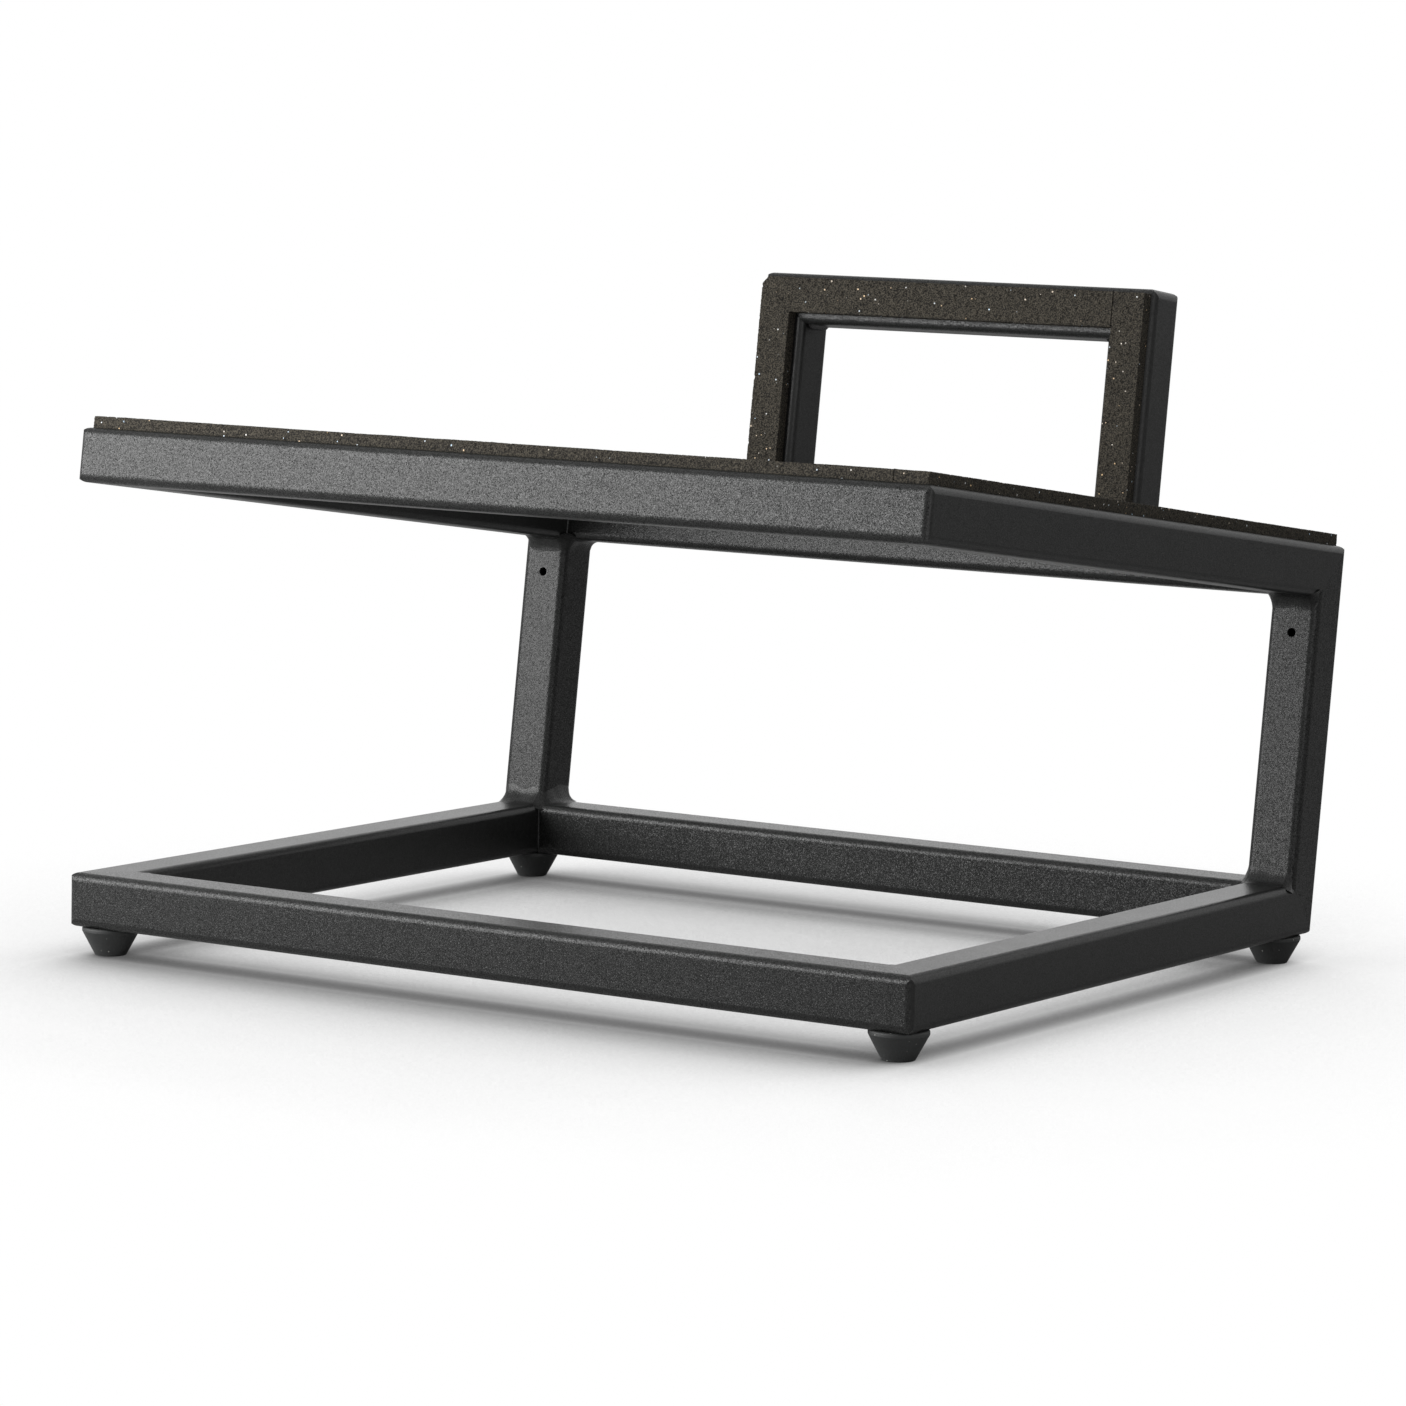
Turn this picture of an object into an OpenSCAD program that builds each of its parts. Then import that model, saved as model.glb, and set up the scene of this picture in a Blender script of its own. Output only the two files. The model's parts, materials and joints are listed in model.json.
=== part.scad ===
// Tilted desktop stand for one large loudspeaker.
// A welded frame of square steel tube: a level base ring on four conical feet,
// two uprights at the back, a platform ring that rises towards the front,
// and a small hoop behind the platform that stops the loudspeaker from sliding off.
// Strips of open-cell foam lie on the platform and on the front of the hoop.
//
// Frame: +X is right seen from the front, -Y is the front, +Z is up.
// The origin is on the floor, below the middle of the whole stand.

/* [Overall] */
// Width over the side tubes
width = 360; // [300:5:420]
// Depth of the base ring, measured along its lower edge
base_depth = 292; // [250:2:340]
// Depth of the platform ring, measured along its slope
platform_depth = 308; // [260:2:350]
// Height of the platform's rear upper edge above the floor
rear_height = 155; // [130:1:200]
// Angle by which the platform rises to the front and the uprights lean back
tilt = 7.2; // [3:0.1:12]

/* [Square tube] */
// Outer side of the tube
tube = 20; // [18:1:25]
// Thickness of the tube's wall
wall = 1.5; // [1:0.25:2]
// Outer radius of the tube's long edges
corner_r = 3; // [2.5:0.25:4]
// Radius ground on the outer corners at the back of the side frames
rear_corner_r = 3.5; // [2:0.5:6]
// Radius ground on the upright outer corners at the front
front_corner_r = 2.5; // [1:0.25:2.75]

/* [Hoop] */
// Width of the hoop over its legs
hoop_width = 178; // [120:2:220]
// Height of the hoop above the platform's upper face, along its lean
hoop_rise = 93.5; // [70:0.5:130]
// Distance from the lower end of the legs up to the underside of the rear rail
leg_gap = 2; // [1:0.5:4]
// Thickness of the plates that close the legs
cap_t = 1.5; // [1:0.25:3]
// Radius ground on the hoop's upper outer corners
hoop_corner_r = 3.5; // [1:0.5:5]

/* [Foam on the platform] */
// Thickness of the platform's strips
foam_t = 4.5; // [3:0.5:8]
// Width of the platform's strips
foam_w = 14; // [8:0.5:14.5]
// Gap where two strips butt together
foam_joint = 0.3; // [0.2:0.1:1]

/* [Foam on the hoop] */
// Thickness of the hoop's strips
hoop_foam_t = 5; // [3:0.5:8]
// Width of the hoop's strips
hoop_foam_w = 14; // [10:0.5:17]
// Distance of the leg strips from the outer sides of the hoop
hoop_foam_side = 2; // [0.5:0.25:3]
// Distance of the strips from the upper side of the hoop
hoop_foam_top = 2; // [0.5:0.25:3]
// Size of the snipped corner on the left leg's strip
foam_snip = 3; // [1:0.5:5]

/* [Feet] */
// Height of a foot below the base
foot_h = 10.5; // [8:0.5:20]
// Diameter of a foot at its rim
foot_top_d = 21; // [18:0.5:26]
// Diameter of a foot where it meets the floor
foot_tip_d = 11.5; // [8:0.5:14]
// Height of the straight rim of a foot
foot_rim = 1.6; // [1:0.1:3]
// Rounding of a foot's upper edge
foot_edge_r = 0.8; // [0.3:0.1:1]
// Distance from the outer faces of the base to the middle of a foot
foot_inset = 11; // [10:0.5:14]

/* [Fixing of the feet] */
// Diameter of the threaded stud moulded into a foot
stud_d = 6; // [4:1:6]
// Length of the stud above the foot
stud_len = 9; // [6:0.5:12]
// Diameter of the plate that anchors the stud in the rubber
anchor_d = 11; // [9:0.5:12]
// Thickness of that plate
anchor_t = 1.2; // [0.8:0.1:2]
// Rubber between the anchor plate and the floor
anchor_z = 5; // [3.5:0.25:6]
// Outer diameter of the rivet nut's barrel
nut_d = 9; // [8:0.5:10]
// Length of the rivet nut's barrel above the flange
nut_len = 11; // [9:0.5:14]
// Diameter of the rivet nut's flange
nut_flange_d = 12; // [11:0.5:14]
// Thickness of the rivet nut's flange
nut_flange_t = 0.8; // [0.5:0.1:1]
// Radial gap around the stud, the barrel and the flange
fit_gap = 0.1; // [0.05:0.05:0.3]

/* [Welds and vents] */
// Leg of the fillet welds
weld_leg = 4; // [2:0.5:6]
// How far the face of a weld is hollowed, as a share of its leg
weld_hollow = 0.12; // [0:0.02:0.25]
// Diameter of the vent hole in each upright
vent_d = 3.5; // [2:0.5:6]
// Distance from the underside of the platform down to the vent hole
vent_drop = 14; // [8:0.5:30]

/* [Hidden] */
$fn = 48;

steel = [0.10, 0.10, 0.11];
weld_grey = [0.16, 0.16, 0.17];
rubber = [0.05, 0.05, 0.05];
zinc = [0.62, 0.63, 0.65];
foam = [0.24, 0.22, 0.19];

// Reach of the blocks that trim tubes, well past the whole stand
far = 2 * (width + platform_depth);
half_w = width / 2;
base_front = -base_depth / 2;
base_rear = base_depth / 2;
base_low = foot_h;
base_top = foot_h + tube;

// The plane of the uprights' backs passes through the base's lower rear edge
platform_rear_y = base_rear + (rear_height - base_low) * tan(tilt);

// Where the front of an upright meets the upper side of the base
upright_front_y = base_rear + tube * ((1 - sin(tilt)) * tan(tilt) - cos(tilt));

// Lowest point of an upright, measured down from the platform's upper face
upright_low = (rear_height - base_low) / cos(tilt);

// The stand's reach to the front and to the back, which sets the origin
lip_y = platform_rear_y + (corner_r - platform_depth) * cos(tilt) + (corner_r - tube) * sin(tilt) - corner_r;
stand_front = min(base_front, lip_y);
stand_rear = platform_rear_y + (tube - corner_r) * cos(tilt) + (hoop_rise - corner_r) * sin(tilt) + corner_r;
middle_y = (stand_front + stand_rear) / 2;

// Edge of the foam strips from the tube's sides
foam_side = (tube - foam_w) / 2;

// The platform's rear strip ends in front of the hoop's strips, and they start above it
rear_strip_end = platform_depth - max(foam_side, hoop_foam_t + foam_joint);
hoop_foam_low = foam_t + foam_joint;

// Moves from the middle of the base to the stand's own origin
module on_floor() {
    translate([0, -middle_y, 0]) children();
}

// The platform's own frame: y runs back from the front edge, z = 0 is the upper face of its tubes
module on_platform() {
    on_floor()
        translate([0, platform_rear_y, rear_height])
            rotate([-tilt, 0, 0])
                translate([0, -platform_depth, 0])
                    children();
}

// Repeats a shape on the right and its mirror image on the left
module both_sides() {
    children();
    mirror([1, 0, 0]) children();
}

// Square with rounded corners
module rounded_square(side, r) {
    square([side, side - 2 * r], center = true);
    square([side - 2 * r, side], center = true);
    for (sx = [-1, 1], sy = [-1, 1])
        translate([sx * (side / 2 - r), sy * (side / 2 - r)])
            circle(r);
}

// Length of square tube along z, centred on the z axis
module bar(length) {
    linear_extrude(length, center = true)
        difference() {
            rounded_square(tube, corner_r);
            rounded_square(tube - 2 * wall, corner_r - wall);
        }
}

// Tube along x whose lower front edge lies on the x axis
module bar_x(length) {
    translate([0, tube / 2, tube / 2]) rotate([0, 90, 0]) bar(length);
}

// Tube along y whose lower inner edge lies on the y axis, reaching out to +x
module bar_y(length) {
    translate([tube / 2, 0, tube / 2]) rotate([90, 0, 0]) bar(length);
}

// Turns a drawing in y and z into a block along x, as wide as the stand
module side_block() {
    rotate([90, 0, 90]) linear_extrude(far, center = true) children();
}

// Plan of a ring rail at the front, cut at 45 degrees at both ends
module front_mitres(y) {
    linear_extrude(far, center = true)
        polygon([
            [-half_w, y], [half_w, y],
            [half_w - tube, y + tube], [tube - half_w, y + tube]
        ]);
}

// Plan of the right side rail of a ring, cut at 45 degrees at its front end
module side_mitre(y) {
    linear_extrude(far, center = true)
        polygon([
            [half_w, y], [half_w, y + far],
            [half_w - tube, y + far], [half_w - tube, y + tube]
        ]);
}

// What is ground off an outer corner at the origin; the two faces run along 0 degrees and along angle
module corner_waste(r, angle) {
    reach = r / tan(angle / 2);
    centre = r / sin(angle / 2);
    margin = 1;
    difference() {
        polygon([
            [-margin, -margin],
            [reach, -margin],
            [reach, 0],
            centre * [cos(angle / 2), sin(angle / 2)],
            reach * [cos(angle), sin(angle)],
            reach * [cos(angle), sin(angle)] + margin * [-sin(angle), cos(angle)]
        ]);
        translate(centre * [cos(angle / 2), sin(angle / 2)]) circle(r);
    }
}

// Rounds the two upright outer corners at the front of a ring
module grind_front_corners(y) {
    difference() {
        children();
        both_sides()
            translate([half_w, y])
                rotate([0, 0, 90])
                    linear_extrude(far, center = true)
                        corner_waste(front_corner_r, 90);
    }
}

// Rounds the lower rear corners of the side frames, seen from the side
module grind_base_corner() {
    difference() {
        children();
        side_block()
            translate([base_rear, base_low])
                mirror([1, 0])
                    corner_waste(rear_corner_r, 90 + tilt);
    }
}

// Rounds the upper rear corners of the side frames, in the platform's frame
module grind_platform_corner() {
    difference() {
        children();
        side_block()
            translate([platform_depth, 0])
                rotate(180)
                    corner_waste(rear_corner_r, 90);
    }
}

// Side view of all that lies in front of the lower mitre between base and upright
module base_side_of_mitre() {
    side_block()
        polygon([
            [base_rear, base_low],
            [upright_front_y, base_top],
            [upright_front_y + (upright_front_y - base_rear), base_top + tube],
            [base_rear - far, base_top + tube],
            [base_rear - far, base_low - tube],
            [base_rear + (base_rear - upright_front_y), base_low - tube]
        ]);
}

// Holes for the rivet nuts in the underside of the base
module nut_holes() {
    at_feet() cylinder(h = tube, r = nut_d / 2 + fit_gap, center = true);
}

// Repeats a shape at the middle of each foot, with z = 0 at the underside of the base
module at_feet() {
    for (sx = [-1, 1], sy = [-1, 1])
        translate([sx * (half_w - foot_inset), sy * (base_rear - foot_inset), base_low])
            children();
}

module base_front_rail() {
    color(steel) on_floor() grind_front_corners(base_front) difference() {
        intersection() {
            translate([0, base_front, base_low]) bar_x(width + tube);
            front_mitres(base_front);
        }
        nut_holes();
    }
}

module base_rear_rail() {
    color(steel) on_floor()
        translate([0, base_rear - tube, base_low])
            bar_x(width - 2 * tube);
}

module base_side_rail() {
    grind_base_corner() grind_front_corners(base_front) difference() {
        intersection() {
            translate([half_w - tube, 0, base_low]) bar_y(far);
            side_mitre(base_front);
            base_side_of_mitre();
        }
        nut_holes();
    }
}

module base_right_rail() {
    color(steel) on_floor() base_side_rail();
}

module base_left_rail() {
    color(steel) on_floor() mirror([1, 0, 0]) base_side_rail();
}

// Upright in the platform's frame, before its lower end is trimmed
module upright_blank() {
    top_mitre = [
        [platform_depth, 0],
        [platform_depth - tube, -tube],
        [platform_depth - tube, -far],
        [platform_depth, -far]
    ];
    grind_platform_corner() difference() {
        intersection() {
            translate([half_w - tube / 2, platform_depth - tube / 2, 0]) bar(far);
            side_block() polygon(top_mitre);
        }
        translate([half_w - tube / 2, platform_depth - tube, -tube - vent_drop])
            rotate([90, 0, 0])
                cylinder(h = 2 * wall + 2, d = vent_d, center = true);
    }
}

module upright() {
    difference() {
        on_platform() upright_blank();
        on_floor() base_side_of_mitre();
        on_floor() translate([-far / 2, -far / 2, base_low - far]) cube([far, far, far]);
        on_floor() side_block()
            translate([base_rear, base_low])
                mirror([1, 0])
                    corner_waste(rear_corner_r, 90 + tilt);
    }
}

module right_upright() {
    color(steel) upright();
}

module left_upright() {
    color(steel) mirror([1, 0, 0]) upright();
}

module platform_front_rail() {
    color(steel) on_platform() grind_front_corners(0) intersection() {
        translate([0, 0, -tube]) bar_x(width + tube);
        front_mitres(0);
    }
}

module platform_rear_rail() {
    color(steel) on_platform()
        translate([0, platform_depth - tube, -tube])
            bar_x(width - 2 * tube);
}

module platform_side_rail() {
    rear_mitre = [
        [platform_depth, 0],
        [platform_depth - tube, -tube],
        [-far, -tube],
        [-far, 0]
    ];
    grind_platform_corner() grind_front_corners(0) intersection() {
        translate([half_w - tube, 0, -tube]) bar_y(far);
        side_mitre(0);
        side_block() polygon(rear_mitre);
    }
}

module platform_right_rail() {
    color(steel) on_platform() platform_side_rail();
}

module platform_left_rail() {
    color(steel) on_platform() mirror([1, 0, 0]) platform_side_rail();
}

// Front view of the hoop's outer corner waste, on the right
module hoop_grind() {
    difference() {
        children();
        translate([hoop_width / 2, platform_depth, hoop_rise])
            rotate([90, 0, 0])
                linear_extrude(far, center = true)
                    rotate(180)
                        corner_waste(hoop_corner_r, 90);
    }
}

// Turns a drawing in x and z into a block along y
module front_block() {
    rotate([90, 0, 0]) linear_extrude(far, center = true) children();
}

module hoop_leg() {
    low = leg_gap + cap_t - tube;
    hoop_grind() intersection() {
        translate([hoop_width / 2 - tube / 2, platform_depth + tube / 2, 0]) bar(far);
        front_block() polygon([
            [hoop_width / 2, hoop_rise],
            [hoop_width / 2 - tube, hoop_rise - tube],
            [hoop_width / 2 - tube, low],
            [hoop_width / 2, low]
        ]);
    }
}

module hoop_right_leg() {
    color(steel) on_platform() hoop_leg();
}

module hoop_left_leg() {
    color(steel) on_platform() mirror([1, 0, 0]) hoop_leg();
}

module hoop_top_rail() {
    color(steel) on_platform() hoop_grind() mirror([1, 0, 0]) hoop_grind() intersection() {
        translate([0, platform_depth, hoop_rise - tube]) bar_x(hoop_width + tube);
        front_block() polygon([
            [-hoop_width / 2, hoop_rise],
            [hoop_width / 2, hoop_rise],
            [hoop_width / 2 - tube, hoop_rise - tube],
            [tube - hoop_width / 2, hoop_rise - tube]
        ]);
    }
}

// Plates welded into the lower ends of the hoop's legs
module hoop_leg_caps() {
    color(steel) on_platform() both_sides()
        translate([hoop_width / 2 - tube / 2, platform_depth + tube / 2, leg_gap - tube])
            linear_extrude(cap_t) rounded_square(tube, corner_r);
}

// Fillet weld of one length along z; its two legs run from the origin along 0 degrees and along angle
module bead(length, angle = 90) {
    steps = 6;
    first = weld_leg * [1, 0];
    last = weld_leg * [cos(angle), sin(angle)];
    inward = -[cos(angle / 2), sin(angle / 2)];
    face = [
        for (i = [0:steps])
            let (t = i / steps)
            first * (1 - t) + last * t + inward * weld_leg * weld_hollow * 4 * t * (1 - t)
    ];
    linear_extrude(length, center = true) polygon(concat([[0, 0]], face));
}

// Beads in the four inner corners of a ring whose front edge is at y = 0 and whose underside is at z = 0
module ring_corner_beads(depth) {
    length = tube - 2 * corner_r;
    both_sides() {
        translate([half_w - tube, tube, tube / 2]) rotate(90) bead(length);
        translate([half_w - tube, depth - tube, tube / 2]) rotate(180) bead(length);
    }
}

module base_welds() {
    rail_flat = base_rear - corner_r - (upright_front_y + corner_r);
    color(weld_grey) on_floor() {
        translate([0, base_front, base_low]) ring_corner_beads(base_depth);
        both_sides() {
            // Along the foot of the upright's front
            translate([half_w - tube / 2, upright_front_y, base_top])
                rotate([90, 0, -90])
                    bead(tube - 2 * corner_r, 90 + tilt);
            // Along the foot of the upright's inner side, on the rear rail
            translate([half_w - tube, upright_front_y + corner_r + rail_flat / 2, base_top])
                rotate([90, -90, 0])
                    bead(rail_flat);
        }
    }
}

module upright_welds() {
    length = tube - 2 * corner_r;
    color(weld_grey) on_platform() both_sides() {
        // Under the side rail, along the upright's front
        translate([half_w - tube / 2, platform_depth - tube, -tube])
            rotate([-90, 0, -90])
                bead(length);
        // Under the rear rail, along the upright's inner side
        translate([half_w - tube, platform_depth - tube / 2, -tube])
            rotate([90, 180, 0])
                bead(length);
    }
}

module platform_welds() {
    color(weld_grey) on_platform() translate([0, 0, -tube]) ring_corner_beads(platform_depth);
}

module hoop_welds() {
    length = tube - 2 * corner_r;
    leg_low = leg_gap + cap_t - tube;
    leg_bead = -corner_r - leg_low;
    color(weld_grey) on_platform() both_sides() {
        // In the hoop's inner corners
        translate([hoop_width / 2 - tube, platform_depth + tube / 2, hoop_rise - tube])
            rotate([90, 180, 0])
                bead(length);
        // Along both sides of each leg, against the back of the rear rail
        translate([hoop_width / 2, platform_depth, leg_low + leg_bead / 2])
            bead(leg_bead);
        translate([hoop_width / 2 - tube, platform_depth, leg_low + leg_bead / 2])
            rotate(90)
                bead(leg_bead);
    }
}

// One foot, standing on z = 0: a rubber cone with a rim, a seat for the nut's flange
// and the hollow that the stud's anchor plate fills
module foot() {
    rim_low = foot_h - foot_rim;
    r_top = foot_top_d / 2;
    difference() {
        rotate_extrude() {
            polygon([
                [0, 0],
                [foot_tip_d / 2, 0],
                [r_top, rim_low],
                [r_top, foot_h - foot_edge_r],
                [r_top - foot_edge_r, foot_h - foot_edge_r],
                [r_top - foot_edge_r, foot_h],
                [0, foot_h]
            ]);
            translate([r_top - foot_edge_r, foot_h - foot_edge_r])
                intersection() {
                    circle(foot_edge_r);
                    square(foot_edge_r);
                }
        }
        translate([0, 0, anchor_z]) cylinder(h = anchor_t, d = anchor_d);
        translate([0, 0, anchor_z]) cylinder(h = foot_h, r = stud_d / 2 + fit_gap);
        translate([0, 0, foot_h - nut_flange_t]) cylinder(h = foot_h, r = nut_flange_d / 2 + fit_gap);
    }
}

// A foot at one corner of the base
module foot_at(sx, sy) {
    color(rubber) on_floor()
        translate([sx * (half_w - foot_inset), sy * (base_rear - foot_inset), 0])
            foot();
}

module front_left_foot() foot_at(-1, -1);
module front_right_foot() foot_at(1, -1);
module rear_left_foot() foot_at(-1, 1);
module rear_right_foot() foot_at(1, 1);

// Threaded studs with their anchor plates, one in each foot
module foot_studs() {
    color(zinc) on_floor() at_feet() translate([0, 0, anchor_z - foot_h]) {
        cylinder(h = anchor_t, d = anchor_d);
        cylinder(h = foot_h - anchor_z + stud_len, d = stud_d);
    }
}

// Rivet nuts in the underside of the base, which take the studs
module rivet_nuts() {
    color(zinc) on_floor() at_feet() difference() {
        union() {
            translate([0, 0, -nut_flange_t]) cylinder(h = nut_flange_t, d = nut_flange_d);
            cylinder(h = nut_len, d = nut_d);
        }
        cylinder(h = far, r = stud_d / 2 + fit_gap, center = true);
    }
}

// Foam strip on the platform's upper face, from one corner of its plan to the other
module platform_strip(from, to) {
    color(foam) on_platform()
        translate([from.x, from.y, 0])
            cube([to.x - from.x, to.y - from.y, foam_t]);
}

strip_outer = half_w - foam_side;
strip_inner = strip_outer - foam_w;

module platform_foam_left() {
    platform_strip([-strip_outer, foam_side], [-strip_inner, platform_depth - foam_side]);
}

module platform_foam_right() {
    platform_strip([strip_inner, foam_side], [strip_outer, platform_depth - foam_side]);
}

module platform_foam_front_left() {
    platform_strip([foam_joint - strip_inner, foam_side], [-foam_joint / 2, foam_side + foam_w]);
}

module platform_foam_front_right() {
    platform_strip([foam_joint / 2, foam_side], [strip_inner - foam_joint, foam_side + foam_w]);
}

module platform_foam_rear() {
    platform_strip(
        [foam_joint - strip_inner, rear_strip_end - foam_w],
        [strip_inner - foam_joint, rear_strip_end]
    );
}

// Foam strip on the front of the hoop, drawn in x and z
module hoop_strip() {
    color(foam) on_platform()
        translate([0, platform_depth, 0])
            rotate([90, 0, 0])
                linear_extrude(hoop_foam_t)
                    children();
}

leg_strip_outer = hoop_width / 2 - hoop_foam_side;
leg_strip_inner = leg_strip_outer - hoop_foam_w;
hoop_strip_top = hoop_rise - hoop_foam_top;

module hoop_foam_right() {
    hoop_strip()
        translate([leg_strip_inner, hoop_foam_low])
            square([hoop_foam_w, hoop_strip_top - hoop_foam_low]);
}

module hoop_foam_left() {
    hoop_strip() polygon([
        [-leg_strip_outer, hoop_foam_low],
        [-leg_strip_inner, hoop_foam_low],
        [-leg_strip_inner, hoop_strip_top],
        [foam_snip - leg_strip_outer, hoop_strip_top],
        [-leg_strip_outer, hoop_strip_top - foam_snip]
    ]);
}

module hoop_foam_top() {
    hoop_strip()
        translate([foam_joint - leg_strip_inner, hoop_strip_top - hoop_foam_w])
            square([2 * (leg_strip_inner - foam_joint), hoop_foam_w]);
}

base_front_rail();
base_rear_rail();
base_left_rail();
base_right_rail();
left_upright();
right_upright();
platform_front_rail();
platform_rear_rail();
platform_left_rail();
platform_right_rail();
hoop_left_leg();
hoop_right_leg();
hoop_top_rail();
hoop_leg_caps();
base_welds();
upright_welds();
platform_welds();
hoop_welds();
front_left_foot();
front_right_foot();
rear_left_foot();
rear_right_foot();
foot_studs();
rivet_nuts();
platform_foam_front_left();
platform_foam_front_right();
platform_foam_rear();
platform_foam_left();
platform_foam_right();
hoop_foam_left();
hoop_foam_right();
hoop_foam_top();
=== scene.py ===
"""Looks of a tilted desktop loudspeaker stand: welded square tube, powder coated black, with foam strips."""
import json
import math
from itertools import product

import bmesh
import bpy
import numpy as np
from mathutils import Matrix, Vector


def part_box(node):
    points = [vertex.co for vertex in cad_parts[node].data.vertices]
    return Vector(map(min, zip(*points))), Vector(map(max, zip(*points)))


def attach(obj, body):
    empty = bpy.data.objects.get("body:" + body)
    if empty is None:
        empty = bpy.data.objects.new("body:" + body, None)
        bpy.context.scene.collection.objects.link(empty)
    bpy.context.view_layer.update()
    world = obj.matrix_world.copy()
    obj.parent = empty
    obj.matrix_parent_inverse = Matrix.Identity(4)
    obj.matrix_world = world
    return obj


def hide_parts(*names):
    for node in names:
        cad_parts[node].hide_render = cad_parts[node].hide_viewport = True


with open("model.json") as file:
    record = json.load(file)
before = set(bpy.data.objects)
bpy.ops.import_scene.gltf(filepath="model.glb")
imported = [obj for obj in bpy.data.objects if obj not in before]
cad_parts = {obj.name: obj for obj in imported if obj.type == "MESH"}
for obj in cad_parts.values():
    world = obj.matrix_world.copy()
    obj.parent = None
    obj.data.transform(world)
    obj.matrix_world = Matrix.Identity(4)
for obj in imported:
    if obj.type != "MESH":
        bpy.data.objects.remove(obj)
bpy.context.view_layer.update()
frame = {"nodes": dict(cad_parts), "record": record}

MM = 0.001
X_AXIS = Vector((1, 0, 0))
Y_AXIS = Vector((0, 1, 0))
Z_AXIS = Vector((0, 0, 1))


def mount(name):
    """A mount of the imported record."""
    return next(m for m in frame["record"]["mounts"] if m["name"] == name)


def nodes_in(slot):
    """Names of the CAD nodes in a material slot."""
    return [s["node"] for s in frame["record"]["subparts"] if s["material_slot"] == slot]


def node_points(name):
    """Corners of a CAD node in the row frame, in metres."""
    return np.array([v.co for v in frame["nodes"][name].data.vertices])


def reach(name, way):
    """Lowest and highest coordinate of a CAD node along a direction."""
    along = node_points(name) @ np.array(way)
    return along.min(), along.max()


# The platform's own axes, and the stand's main sizes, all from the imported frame
PLATFORM_UP = Vector(mount("platform_left")["axis"]).normalized()
PLATFORM_BACK = PLATFORM_UP.cross(X_AXIS)
base_low, base_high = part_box("base_front_rail")
TUBE = base_high.z - base_low.z
# Outer corner radius of the square tube, as in the CAD
TUBE_EDGE_R = 3 * MM
HALF_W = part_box("base_right_rail")[1].x
BASE_FRONT = base_low.y
BASE_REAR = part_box("base_rear_rail")[1].y
BASE_MIDDLE_Y = (BASE_FRONT + BASE_REAR) / 2
BASE_LOW = base_low.z
BASE_TOP = base_high.z
PLATFORM_FRONT = reach("platform_front_rail", PLATFORM_BACK)[0]
PLATFORM_REAR = reach("platform_rear_rail", PLATFORM_BACK)[1]
PLATFORM_TOP = reach("platform_rear_rail", PLATFORM_UP)[1]
HOOP_HALF_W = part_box("hoop_top_rail")[1].x
HOOP_TOP = reach("hoop_top_rail", PLATFORM_UP)[1]
HOOP_LEG_LOW = reach("hoop_left_leg", PLATFORM_UP)[0]


# Camera, at the viewing angle of the photograph

CAMERA_AZIMUTH = math.radians(33.060)
CAMERA_ELEVATION = math.radians(6.452)
CAMERA_ROLL = math.radians(1.263)
CAMERA_DISTANCE = 2.0387
CAMERA_LENS_MM = 141.72
CAMERA_SENSOR_MM = 36.0
CAMERA_TARGET = Vector((0, BASE_MIDDLE_Y, 0.130))
# How far the target lies right of and above the middle of the picture
TARGET_RIGHT = 0.61 * MM
TARGET_UP = 34.55 * MM


def make_camera():
    """Camera on a level circle round the stand, rolled a little as the photograph is."""
    back = Vector((
        math.sin(CAMERA_AZIMUTH) * math.cos(CAMERA_ELEVATION),
        -math.cos(CAMERA_AZIMUTH) * math.cos(CAMERA_ELEVATION),
        math.sin(CAMERA_ELEVATION),
    ))
    level_right = Z_AXIS.cross(back).normalized()
    level_up = back.cross(level_right)
    c, s = math.cos(CAMERA_ROLL), math.sin(CAMERA_ROLL)
    right = c * level_right + s * level_up
    up = c * level_up - s * level_right
    data = bpy.data.cameras.new("camera")
    data.lens = CAMERA_LENS_MM
    data.sensor_width = CAMERA_SENSOR_MM
    camera = bpy.data.objects.new("camera", data)
    bpy.context.scene.collection.objects.link(camera)
    place = CAMERA_TARGET + back * CAMERA_DISTANCE - right * TARGET_RIGHT - up * TARGET_UP
    turn = Matrix((right, up, back)).transposed().to_4x4()
    camera.matrix_world = Matrix.Translation(place) @ turn
    bpy.context.scene.camera = camera


# Materials

def material(name):
    """Empty node material with its Principled shader, and the tree to add to."""
    made = bpy.data.materials.new(name)
    made.use_nodes = True
    tree = made.node_tree
    tree.nodes.clear()
    shader = tree.nodes.new("ShaderNodeBsdfPrincipled")
    output = tree.nodes.new("ShaderNodeOutputMaterial")
    tree.links.new(shader.outputs["BSDF"], output.inputs["Surface"])
    return made, tree, shader


def node(tree, kind, settings=None, **inputs):
    """Adds a node, sets its properties, and sets or links its inputs by name."""
    made = tree.nodes.new(kind)
    for key, value in (settings or {}).items():
        setattr(made, key, value)
    for key, value in inputs.items():
        put(tree, made.inputs[key.replace("_", " ")], value)
    return made


def put(tree, socket, value):
    """Links an output to a socket, or sets the socket's own value."""
    if isinstance(value, bpy.types.NodeSocket):
        tree.links.new(value, socket)
    else:
        socket.default_value = value


def math_node(tree, operation, *values, clamp=False):
    """Result of a sum, a product or the like of numbers and sockets."""
    made = node(tree, "ShaderNodeMath", {"operation": operation, "use_clamp": clamp})
    for socket, value in zip(made.inputs, values):
        put(tree, socket, value)
    return made.outputs[0]


def noise(tree, coords, size, detail=2.0, rough=0.5, seed=0.0):
    """Soft noise, 0 to 1, whose blotches are about size metres across."""
    made = node(
        tree, "ShaderNodeTexNoise", {"noise_dimensions": "4D"},
        Vector=coords, Scale=1 / size, Detail=detail, Roughness=rough, W=seed,
    )
    return made.outputs["Fac"]


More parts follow.
